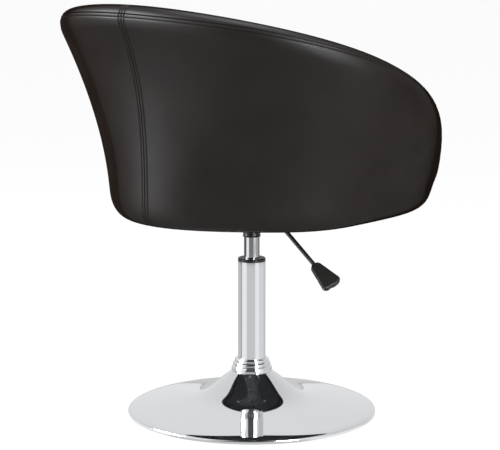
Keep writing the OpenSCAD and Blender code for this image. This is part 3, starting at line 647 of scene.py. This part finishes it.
# %% Draping helpers
roll_r = 2.0  # radius at which a cover turns in at a join
stitch_off = 6.4  # distance of the topstitching from the join
groove_w, groove_d = 1.1, 0.9  # half width and depth of its groove
near_join = np.array([0, 0.2, 0.6, 1.1, 1.6, 2.2, 3.2, 4.4, 5.2, 5.8, 6.4, 7, 7.6, 8.4, 10.5, 14])


def sunk(distance, stitched):
    """How far a cover lies below its free surface, at a distance from a join."""
    bent = np.clip(roll_r - distance, 0, roll_r)
    depth = roll_r - np.sqrt(roll_r**2 - bent**2)
    if stitched:
        depth = depth + groove_d * np.exp(-((distance - stitch_off) / groove_w) ** 2)
    return depth


def normals_of(grid):
    """A grid's outward normals, one for each of its points."""
    normal = np.cross(np.gradient(grid, axis=1), np.gradient(grid, axis=0))
    return normal / np.maximum(np.linalg.norm(normal, axis=2), 1e-9)[..., None]


def pressed_in(points, depth):
    """Moves a grid of points inwards, square to its surface, by a depth at each point."""
    return points - normals_of(points) * depth[..., None]


def draped(name, points, material, skin_t=0.0):
    """A grid laid over points[row, column] in mm, closed where its edges meet, with a skin."""
    rows, columns = points.shape[:2]
    deselect()
    bpy.ops.mesh.primitive_grid_add(x_subdivisions=columns - 1, y_subdivisions=rows - 1, size=1)
    piece = bpy.context.object
    piece.data.vertices.foreach_set("co", (points * MM).ravel())
    edit_all()
    bpy.ops.mesh.remove_doubles(threshold=2e-6)
    close_edit()
    if skin_t:
        bpy.ops.object.modifier_add(type="SOLIDIFY")
        piece.modifiers["Solidify"].thickness = skin_t * MM
        piece.modifiers["Solidify"].offset = -1
        apply_modifiers(piece)
    bpy.ops.object.shade_smooth()
    return name_piece(name, material)


print("near a join the rows lie", near_join[:6], "mm from it")

# %% [markdown]
# ## The section of the top edge
# A soft roll crowns the wall. Its section is one full curve, from the top of the wall over the
# crest to the lining. The outer cover climbs the first part of this curve, up to a join on the
# tub's shoulder, and the roll's own strip of leatherette covers the rest.

# %% Section of the top edge
roll_full = 1.25  # how much higher than a half circle the roll stands


def lobe(turn, count=121):
    """Radii, heights and run of the roll's section, a column for each turn."""
    turn = np.atleast_1d(turn)
    rise = 2 / 3 * wall_t(turn) * roll_full / np.sqrt(1 + top_slope(turn) ** 2)
    out = rise * top_slope(turn)
    outer, inner, low = top_r(turn), top_r(turn) - wall_t(turn), top_z(turn)
    t = np.linspace(0, 1, count)[:, None]
    radius = bezier(outer, outer + out, inner + out, inner, t)
    height = bezier(low, low + rise, low + rise, low, t)
    steps = np.hypot(np.diff(radius, axis=0), np.diff(height, axis=0))
    run = np.concatenate([np.zeros((1, len(turn))), np.cumsum(steps, axis=0)])
    return radius, height, run


def over_lobe(turn, distance):
    """Radii and heights at a distance along the section, for each turn."""
    turn, distance = (np.ravel(v) for v in np.broadcast_arrays(turn, distance))
    radius, height, run = lobe(turn)
    return tuple(np.array([np.interp(d, run[:, i], line[:, i]) for i, d in enumerate(distance)])
                 for line in (radius, height))


def join_at(turn):
    """Distance along the section at which the cover ends and the roll begins."""
    return around(turn, back=28.5, side=40, front=26)


print("join on the shoulder at the back, mm:", np.round(over_lobe(0.0, join_at(0.0)), 1).ravel())

# %% [markdown]
# ## The outer cover
# Two mirrored halves of leatherette wrap the tub from a hem under its foot to the join on its
# shoulder. They meet in a join down the middle of the back and another under the front. The real
# cover is sewn from flat panels and pulled over the foam; draping a grid over the same form gives
# its stretched surface at once, and a thin skin makes it a real sheet.

# %% Outer cover
skin_t = 1.3  # the leatherette's thickness
unseamed = 99  # a distance at which a join no longer shapes the cover


def from_join(first, centre):
    """Turns for evenly spread columns from one join's fine steps to the middle of the panel."""
    return np.linspace(first, centre, 31)[1:]


cover_rows = ([("fold", s) for s in (0, 0.6)]
              + [("hem", s) for s in np.linspace(0, 1, 5)[:-1]]
              + [("edge", s) for s in np.linspace(0, 1, 15)[:-1]]
              + [("wall", s) for s in np.linspace(0, 1, 27)]
              + [("shoulder", s) for s in (0.3, 0.6)]
              + [("top", d) for d in near_join[::-1]])


def cover_point(part, value, turn):
    """Radius, height and distance below the upper join for one row of the cover."""
    start = tub_z + edge_h(turn)
    low_r = foot_r(turn) - edge_w(turn)
    below = unseamed + 0 * turn
    if part == "fold":
        radius, z = low_r - hem_w, tub_z + fold_h * (1 - value) + 0 * turn
    elif part == "hem":
        radius, z = low_r - hem_w * (1 - value), tub_z + 0 * turn
    elif part == "edge":
        swing = value * math.pi / 2
        radius = low_r + edge_w(turn) * math.sin(swing)
        z = start - edge_h(turn) * math.cos(swing)
    elif part == "wall":
        z = start + (top_z(turn) - start) * value
        radius = wall_r(turn, z)
    else:
        first = join_at(turn) - near_join[-1]
        run = first * value if part == "shoulder" else join_at(turn) - value
        radius, z = over_lobe(turn, run)
        below = join_at(turn) - run
    return radius, z, below


def rounded_off(radius, z, reach=10, near=28, top_gap=16, top_fade=20):
    """Eases the bend where the foot's edge meets the wall; the cover's top edge stays."""
    corner = [part for part, value in cover_rows].index("wall")
    out = np.stack([radius, z])
    for i in range(radius.shape[1]):
        line = np.stack([radius[:, i], z[:, i]])
        run = np.concatenate([[0], np.cumsum(np.hypot(*np.diff(line, axis=1)))])
        fine = np.arange(0, run[-1], 2)
        weight = np.exp(-0.5 * ((fine[:, None] - run) / reach) ** 2)
        weight /= weight.sum(axis=0)
        smooth = np.stack([np.interp(fine, run, v) for v in line]) @ weight
        share = np.exp(-((run - run[corner]) / near) ** 2)
        share *= ease((run[-1] - run - top_gap) / top_fade)
        out[:, :, i] = line + (smooth - line) * share
    return out


back, front = np.array(0.0), np.array(math.pi)
rows, depths = [], []
for part, value in cover_rows:
    back_r, front_r = cover_point(part, value, back)[0], cover_point(part, value, front)[0]
    near_back, near_front = near_join / back_r, math.pi - near_join / front_r
    turn = np.concatenate([near_back, from_join(near_back[-1], math.pi / 2),
                           from_join(near_front[-1], math.pi / 2)[-2::-1], near_front[::-1]])
    radius, z, below = cover_point(part, value, turn)
    rows.append((turn, radius, z))
    depths.append(sunk(turn * back_r, True) + sunk((math.pi - turn) * front_r, True)
                  + sunk(below, True))
turns, radii, heights = np.array(rows).transpose(1, 0, 2)
cover_grid = at(turns, *rounded_off(radii, heights))
cover_grid = pressed_in(cover_grid[:, ::-1], np.array(depths)[:, ::-1])
mirror_x = np.array([-1, 1, 1])
for side, points in (("left", cover_grid), ("right", cover_grid[:, ::-1] * mirror_x)):
    cover = draped("cover_half_" + side, points, leatherette, skin_t)
    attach(cover, "seat")
    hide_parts("outer_cover_" + side, "rim_band")
    print(cover.name, len(cover.data.polygons), "faces")

# %% [markdown]
# ## The roll on the top edge
# The roll is a long strip of leatherette over foam, sewn to the outer cover on one side and to
# the lining on the other, with its own join at the back and the front.

# %% Roll
near_back, near_front = near_join / top_r(back), math.pi - near_join / top_r(front)
half = np.concatenate([near_back, np.linspace(near_back[-1], near_front[-1], 71)[1:-1],
                       near_front[::-1]])
turns = np.concatenate([half, math.pi + half])[::-1]
columns, depths = [], []
for turn, radius, height, run in zip(turns, *(line.T for line in lobe(turns))):
    first = join_at(turn)
    middle = np.linspace(first + near_join[-1], run[-1] - near_join[-1], 27)[1:-1]
    steps = np.concatenate([first + near_join, middle, run[-1] - near_join[::-1]])
    columns.append(at(turn, np.interp(steps, run, radius), np.interp(steps, run, height)))
    depths.append(sunk(np.minimum(steps - first, run[-1] - steps), False))
join_gap = np.minimum.reduce([turns * top_r(back), (2 * math.pi - turns) * top_r(back),
                              np.abs(turns - math.pi) * top_r(front)])
roll_grid = pressed_in(np.stack(columns, axis=1),
                       np.stack(depths, axis=1) + sunk(join_gap, True)[None, :])
roll = draped("top_roll", roll_grid, leatherette, skin_t)
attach(roll, "seat")
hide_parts("rim_band")
print("roll:", len(roll.data.polygons), "faces,", round(roll_grid[..., 2].max(), 1), "mm high")

# %% [markdown]
# ## The lining
# Inside the tub a padded lining hangs from the roll to the seat board. It is one sheet of
# leatherette over foam with its join at the back, and only its upper part shows above the
# cushion. It is draped over the inner form, rolls in where it meets the roll, and turns in at its
# foot, where it is stapled to the seat board.

# %% Lining
lining_foot_z = pad_foot_z + 1.05  # its foot lies on the seat board
foot_w = 24  # width of the strip on the seat board
lining_rows = ([("near", d) for d in near_join] + [("deep", s) for s in np.linspace(0, 1, 25)[1:]]
               + [("foot", s) for s in (0.1, 0.5, 1)])
lining_join_r = top_r(back) - wall_t(back)
near_back = near_join / lining_join_r
turn = np.concatenate([near_back, np.linspace(near_back[-1], 2 * math.pi - near_back[-1],
                       141)[1:-1], 2 * math.pi - near_back[::-1]])
rows, depths = [], []
for part, value in lining_rows:
    tilt = np.sqrt(1 + top_slope(turn) ** 2)
    deepest = (top_z(turn) - lining_foot_z) * tilt
    if part == "near":
        below = value + 0 * turn
    else:
        below = near_join[-1] + (deepest - near_join[-1]) * (value if part == "deep" else 1)
    z = top_z(turn) - below / tilt
    turned_in = foot_w * value if part == "foot" else 0
    rows.append(at(turn, inner_r(turn, z) - turned_in, z))
    join_gap = np.minimum(turn, 2 * math.pi - turn) * lining_join_r
    depths.append(sunk(below, False) + sunk(join_gap, True))
lining_grid = pressed_in(np.array(rows), np.array(depths))
lining = draped("lining", lining_grid, leatherette, skin_t)
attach(lining, "seat")
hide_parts("inner_pad")
print("lining:", len(lining.data.polygons), "faces")

# %% [markdown]
# ## The seat cushion
# The cushion is a foam block in a sewn cover, boxed with a piped seam around its top. Foam cut a
# little larger than its cover makes the panel crown and the sides pull in. A cloth simulation
# gives that tension: the plain form is remeshed to even faces, blown up a little, and held to a
# small cap so that it stays clear of the lining.

# %% Seat cushion
cushion_z = board_top + 1.5
side_h, crown_h = 36, 24  # height of the boxing, and of the top panel's crown
welt_z = cushion_z + side_h
cushion_gap = 3  # play between cushion and lining
pole_r = 0.01  # closes the grid's ends to a point


def cushion_r(turn, z):
    """Free radius for the cushion inside the lining and under the front of the roll."""
    inside = lobe(turn)[0].min(axis=0)
    return np.minimum(inner_r(turn, np.minimum(z, welt_z)), inside) - cushion_gap


turn = np.linspace(0, 2 * math.pi, 145)
side_steps = [(0.5, 0), (0.9, 0), (0.965, 0.05), (0.985, 0.2), (0.98, 0.5), (0.985, 0.8), (0.99, 1)]
rows = [at(turn, cushion_r(turn, cushion_z + side_h * s) * share, cushion_z + side_h * s)
        for share, s in side_steps]
top_shares = [0.97, 0.9, 0.8, 0.66, 0.5, 0.33, 0.16]
rows += [at(turn, cushion_r(turn, welt_z + 0 * turn) * share,
            welt_z + crown_h * (1 - share**4)) for share in top_shares]
rows = [at(turn, pole_r, cushion_z)] + rows + [at(turn, pole_r, welt_z + crown_h)]
cushion = draped("seat_cushion_cover", np.array(rows)[:, ::-1], leatherette)
edit_all()
bpy.ops.mesh.remove_doubles(threshold=5e-5)
bpy.ops.mesh.normals_make_consistent(inside=False)
close_edit()


def pulled_taut(piece, voxel, pressure, cap, frames=20):
    """Blows a closed cover up a little: remesh, cloth with inner pressure, then a cap in mm."""
    select_only(piece)
    bpy.ops.object.modifier_add(type="REMESH")
    piece.modifiers["Remesh"].mode = "VOXEL"
    piece.modifiers["Remesh"].voxel_size = voxel * MM
    bpy.ops.object.modifier_apply(modifier="Remesh")
    before = np.array([v.co for v in piece.data.vertices])
    bpy.ops.object.modifier_add(type="CLOTH")
    cloth = piece.modifiers["Cloth"]
    cloth.settings.use_pressure = True
    cloth.settings.uniform_pressure_force = pressure
    cloth.settings.effector_weights.gravity = 0
    cloth.settings.quality = 5
    cloth.point_cache.frame_end = frames
    for step in range(1, frames + 1):
        bpy.context.scene.frame_set(step)
    graph = bpy.context.evaluated_depsgraph_get()
    after = np.array([v.co for v in piece.evaluated_get(graph).data.vertices])
    piece.modifiers.remove(cloth)
    bpy.context.scene.frame_set(1)
    move = after - before
    length = np.linalg.norm(move, axis=1)
    move *= (np.minimum(length, cap * MM) / np.maximum(length, 1e-9))[:, None]
    piece.data.vertices.foreach_set("co", (before + move).ravel())
    piece.data.update()
    return length.max() / MM


moved = pulled_taut(cushion, voxel=6, pressure=4, cap=7)
print("cloth moved up to", round(moved, 1), "mm before its cap")
select_only(cushion)
bpy.ops.object.modifier_add(type="SMOOTH")
cushion.modifiers["Smooth"].iterations = 6
bpy.ops.object.modifier_apply(modifier="Smooth")

# %% [markdown]
# The seam is wider than the simulation can hold, so it is made after it: the cover is drawn in
# along the line of the piping, and a flat foot keeps the cushion on its board.

# %% Seam of the cushion
seam_d, seam_w = 2.2, 5  # depth and half width of the dent that the piping's seam pulls
crown_limit = 30
points = np.array([v.co for v in cushion.data.vertices]) / MM
turn = np.arctan2(points[:, 0], points[:, 1])
radius = np.hypot(points[:, 0], points[:, 1])
free_r = cushion_r(turn % (2 * math.pi), welt_z + 0 * turn)
at_side = ease((radius / free_r - 0.86) / 0.1)
pull = seam_d * np.exp(-((points[:, 2] - welt_z) / seam_w) ** 2) * at_side
limit = np.minimum(radius - pull, free_r)
points[:, :2] *= (limit / np.maximum(radius, 1e-6))[:, None]
points[:, 2] = np.clip(points[:, 2], cushion_z, welt_z + crown_limit)
cushion.data.vertices.foreach_set("co", (points * MM).ravel())
cushion.data.update()
select_only(cushion)
bpy.ops.object.modifier_add(type="SUBSURF")
apply_modifiers(cushion)
bpy.ops.object.shade_smooth()
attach(cushion, "seat")
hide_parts("seat_cushion")
print("cushion:", len(cushion.data.polygons), "faces, crown at", round(points[:, 2].max(), 1))

# %% [markdown]
# ## Piping
# A cord wrapped in the same leatherette is sewn into the seam around the cushion's top. It
# follows the seam as the cover took it up.

# %% Piping
pipe_r = 2.6
look_aside = 0.06  # turn to each side that is searched for the seam's outermost point
turn = np.linspace(0, 2 * math.pi, 181)
near_welt = np.abs(points[:, 2] - welt_z) < seam_w
seam_turn = np.arctan2(points[near_welt, 0], points[near_welt, 1]) % (2 * math.pi)
seam_r = np.hypot(points[near_welt, 0], points[near_welt, 1])
aside = np.abs((seam_turn - turn[:, None] + math.pi) % (2 * math.pi) - math.pi)
reach = np.array([seam_r[row < look_aside].max() for row in aside])
reach = np.convolve(np.concatenate([reach[-8:-1], reach, reach[1:8]]), np.ones(7) / 7,
                    "same")[7:-7]
swing = np.linspace(0, 2 * math.pi, 13)
pipe_grid = np.stack([at(turn, reach + pipe_r * (0.2 + math.cos(a)), welt_z + pipe_r * math.sin(a))
                      for a in swing])[:, ::-1]
piping = draped("cushion_piping", pipe_grid, leatherette)
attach(piping, "seat")
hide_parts("seat_cushion")
print("piping:", len(piping.data.polygons), "faces")

# %% [markdown]
# ## Topstitching
# Black polyester thread shows as a row of short slanting stitches, six millimetres from every
# join. One stitch is modelled, a slim bead, and copied along the grooves that the covers already
# have, a little sunk into the leatherette.

# %% One stitch
stitch_l, stitch_step = 3.3, 4.3
thread_r = 0.6  # half a stitch's width
deselect()
bpy.ops.mesh.primitive_uv_sphere_add(segments=6, ring_count=5, radius=0.5)
edit_all()
bpy.ops.transform.resize(value=(2 * thread_r, 2 * thread_r, stitch_l))
close_edit()
bead = bpy.context.object
bead_points = np.array([v.co for v in bead.data.vertices])
bead_faces = [list(f.vertices) for f in bead.data.polygons]
bpy.data.objects.remove(bead)
print("one stitch:", len(bead_faces), "faces")

# %% Rows of stitches
slant = 0.12  # a stitch's slope across its row
stand_out = 0.1  # its middle lies this far above the cover, in mm
hem_rows = 6  # rows of the cover's fold and hem, which carry no stitches
lining_seen = 30  # rows of the lining that lie above the cushion


def row_of(grid, row=None, column=None):
    """A row or column of a grid as a path, with the grid's outward normals."""
    pick = (row, slice(None)) if column is None else (slice(None), column)
    return grid[pick], normals_of(grid)[pick]


def stitched(path, normal, gap=3):
    """Bead points along a path in mm, leaving a gap at both ends."""
    run = np.concatenate([[0], np.cumsum(np.linalg.norm(np.diff(path, axis=0), axis=1))])
    spots = np.arange(gap, run[-1] - gap, stitch_step)

    def along(values, where):
        return np.stack([np.interp(where, run, values[:, i]) for i in range(3)], axis=1)

    ahead = along(path, spots + 1) - along(path, spots - 1)
    ahead /= np.linalg.norm(ahead, axis=1)[:, None]
    up = along(normal, spots)
    side = np.cross(up, ahead)
    side /= np.linalg.norm(side, axis=1)[:, None]
    up = np.cross(ahead, side)
    ahead = ahead + slant * side
    frame_at = np.stack([side, up, ahead], axis=1)
    return along(path, spots)[:, None] + stand_out * up[:, None] + bead_points @ frame_at


stitch_at = int(np.argmin(np.abs(near_join - stitch_off)))
half_steps = len(half)
beads = []
for flip in (np.array([1, 1, 1]), mirror_x):
    for column in (stitch_at, cover_grid.shape[1] - 1 - stitch_at):
        path, normal = row_of(cover_grid, column=column)
        beads.append(stitched(path[hem_rows:] * flip, normal[hem_rows:] * flip))
    path, normal = row_of(cover_grid, row=cover_grid.shape[0] - 1 - stitch_at)
    beads.append(stitched(path * flip, normal * flip, 5))
for i in (stitch_at, half_steps - 1 - stitch_at):
    for column in (i, 2 * half_steps - 1 - i):
        path, normal = row_of(roll_grid, column=column)
        beads.append(stitched(path, normal))
for column in (stitch_at, lining_grid.shape[1] - 1 - stitch_at):
    path, normal = row_of(lining_grid, column=column)
    beads.append(stitched(path[:lining_seen], normal[:lining_seen]))
beads = np.concatenate(beads)
count, size = beads.shape[:2]
faces = [[v + size * n for v in face] for n in range(count) for face in bead_faces]
topstitching = bpy.data.objects.new("topstitching", bpy.data.meshes.new("topstitching"))
bpy.context.scene.collection.objects.link(topstitching)
topstitching.data.from_pydata((beads.reshape(-1, 3) * MM).tolist(), [], faces)
select_only(topstitching)
edit_all()
bpy.ops.mesh.normals_make_consistent(inside=False)
close_edit()
bpy.ops.object.shade_smooth()
finish_piece(topstitching, thread)
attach(topstitching, "seat")
print("stitches:", count)

# %% [markdown]
# ## The lever's grip
# The grip is moulded in black nylon and pressed onto the rod: a flat paddle that widens
# to its end, with square shoulders, two shallow hollows for the fingers and soft edges. Its
# outline is drawn once, filled, given thickness and bevelled, and then set at the rod's end. The
# rod's numbers are the ones it is bent to: level to its bend, then down a slope.

# %% Grip of the lever
rod_z, bend_x, bend_r, rod_slope, rod_l = 365.15, 51, 12, math.radians(37), 124
grip_tilt, grip_roll, rod_depth = math.radians(146), math.radians(25), 6
rod_end = Vector((-bend_x - bend_r * math.sin(rod_slope) - rod_l * math.cos(rod_slope), 0,
                  rod_z - bend_r * (1 - math.cos(rod_slope)) - rod_l * math.sin(rod_slope)))
grip_t = 10.4
grip_corners = [(-1.2, -4), (-1.4, 0), (-1.2, 4), (0.6, 7.4), (4, 9.7), (9, 10.9), (14, 12),
                (24, 14), (28, 14.5), (32, 15.6), (38, 17), (42, 17.3), (46, 18.7), (49.5, 19.1),
                (53, 17.4), (55.3, 13.5), (55.4, 9), (54.7, 4.8), (55.4, 1), (55.6, -3),
                (54.9, -9), (53, -14.5), (50, -17.9), (46, -18.8), (41, -17.9), (28, -15),
                (14, -12), (9, -10.9), (4, -9.7), (0.6, -7.4)]


def flowing(corners, steps=4):
    """A closed curve through all corners (Catmull-Rom)."""
    p = np.array(corners, float)
    before, after, beyond = np.roll(p, 1, 0), np.roll(p, -1, 0), np.roll(p, -2, 0)
    parts = [0.5 * (2 * p + (after - before) * t + (2 * before - 5 * p + 4 * after - beyond) * t**2
                    + (3 * p - before - 3 * after + beyond) * t**3)
             for t in np.arange(steps) / steps]
    return np.stack(parts, axis=1).reshape(-1, 2)


outline = flowing(grip_corners)
deselect()
bpy.ops.mesh.primitive_circle_add(vertices=len(outline), radius=1, fill_type="NGON")
grip = bpy.context.object
flat = np.column_stack([outline, np.full(len(outline), grip_t / 2)]) * MM
grip.data.vertices.foreach_set("co", flat.ravel())
edit_all()
bpy.ops.mesh.extrude_region_move(TRANSFORM_OT_translate={"value": (0, 0, -grip_t * MM)})
bpy.ops.mesh.select_all(action="SELECT")
bpy.ops.mesh.normals_make_consistent(inside=False)
close_edit()


def pick_cap(side):
    """Selects the grip's widest face on one side and opens it for editing."""
    bpy.ops.object.mode_set(mode="EDIT")
    bpy.ops.mesh.select_all(action="DESELECT")
    bpy.ops.mesh.select_mode(type="FACE")
    close_edit()
    cap = max((f for f in grip.data.polygons if f.normal.z * side > 0.99), key=lambda f: f.area)
    cap.select = True
    bpy.ops.object.mode_set(mode="EDIT")


for side, edge_round in ((-1, 3.4), (1, 2.4)):
    pick_cap(side)
    bpy.ops.mesh.bevel(offset=edge_round * MM, segments=5, profile=0.55, clamp_overlap=False)
    pick_cap(side)
    bpy.ops.mesh.inset(thickness=0.6 * MM)
    close_edit()
bpy.ops.object.shade_smooth_by_angle(angle=math.radians(40))
grip.matrix_world = (Matrix.Translation(rod_end * MM) @ Matrix.Rotation(grip_tilt, 4, "Y")
                     @ Matrix.Rotation(grip_roll, 4, "X")
                     @ Matrix.Translation((-rod_depth * MM, 0, 0)))
bpy.ops.object.transform_apply(location=True, rotation=True, scale=True)
name_piece("moulded_grip", nylon)
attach(grip, "lever")
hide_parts("lever_paddle")
print("grip:", len(grip.data.polygons), "faces, rod ends at", [round(v, 1) for v in rod_end])
